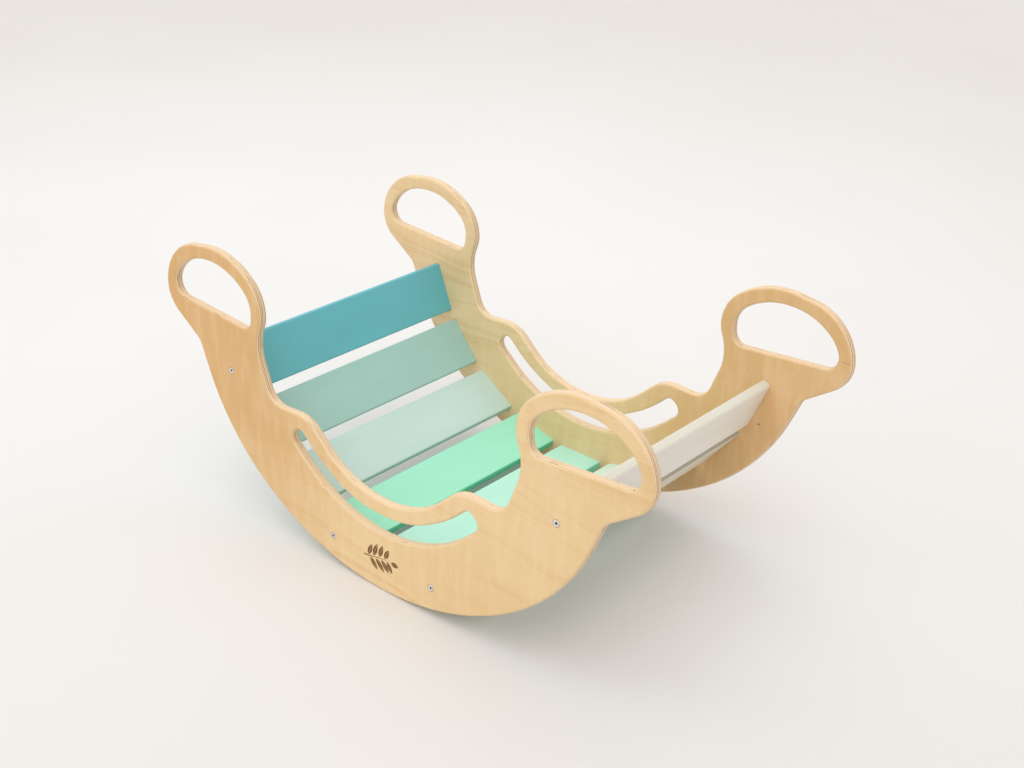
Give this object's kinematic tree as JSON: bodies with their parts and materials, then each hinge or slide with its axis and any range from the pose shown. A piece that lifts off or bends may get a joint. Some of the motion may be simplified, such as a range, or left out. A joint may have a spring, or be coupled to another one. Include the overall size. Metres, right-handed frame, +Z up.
{
  "type": "seesaw",
  "caption": "Wooden rocking seesaw: curved plywood side panels with handle holes and finger slots, joined by a cradle of painted slats.",
  "frame": {"origin": "on the floor under the middle of the rocker, where the rocking edges touch it at rest", "axes": "+X along the rocker, +Y across it from the front side panel to the back one, +Z up"},
  "size_m": [0.9458, 0.49, 0.4469],
  "materials": {
    "birch_ply": "clear matt varnish on birch plywood",
    "paint_1": "satin teal-blue paint",
    "paint_2": "satin sage paint",
    "paint_3": "satin pale sage paint",
    "paint_4": "satin mint paint",
    "paint_5": "satin light mint paint",
    "paint_6": "satin pale mint paint",
    "paint_7": "satin very pale mint paint",
    "paint_8": "satin green-white paint",
    "paint_9": "satin warm white paint",
    "zinc_screw": "zinc plated"
  },
  "bodies": {
    "root": {"side_panel_front": "birch_ply", "side_panel_back": "birch_ply", "slat_1": "paint_1", "slat_2": "paint_2", "slat_3": "paint_3", "slat_4": "paint_4", "slat_5": "paint_5", "slat_6": "paint_6", "slat_7": "paint_7", "slat_8": "paint_8", "slat_9": "paint_9", "screw_front_slat_1": "zinc_screw", "screw_front_slat_4": "zinc_screw", "screw_front_slat_6": "zinc_screw", "screw_front_slat_9": "zinc_screw", "screw_back_slat_1": "zinc_screw", "screw_back_slat_4": "zinc_screw", "screw_back_slat_6": "zinc_screw", "screw_back_slat_9": "zinc_screw"}
  },
  "joints": []
}
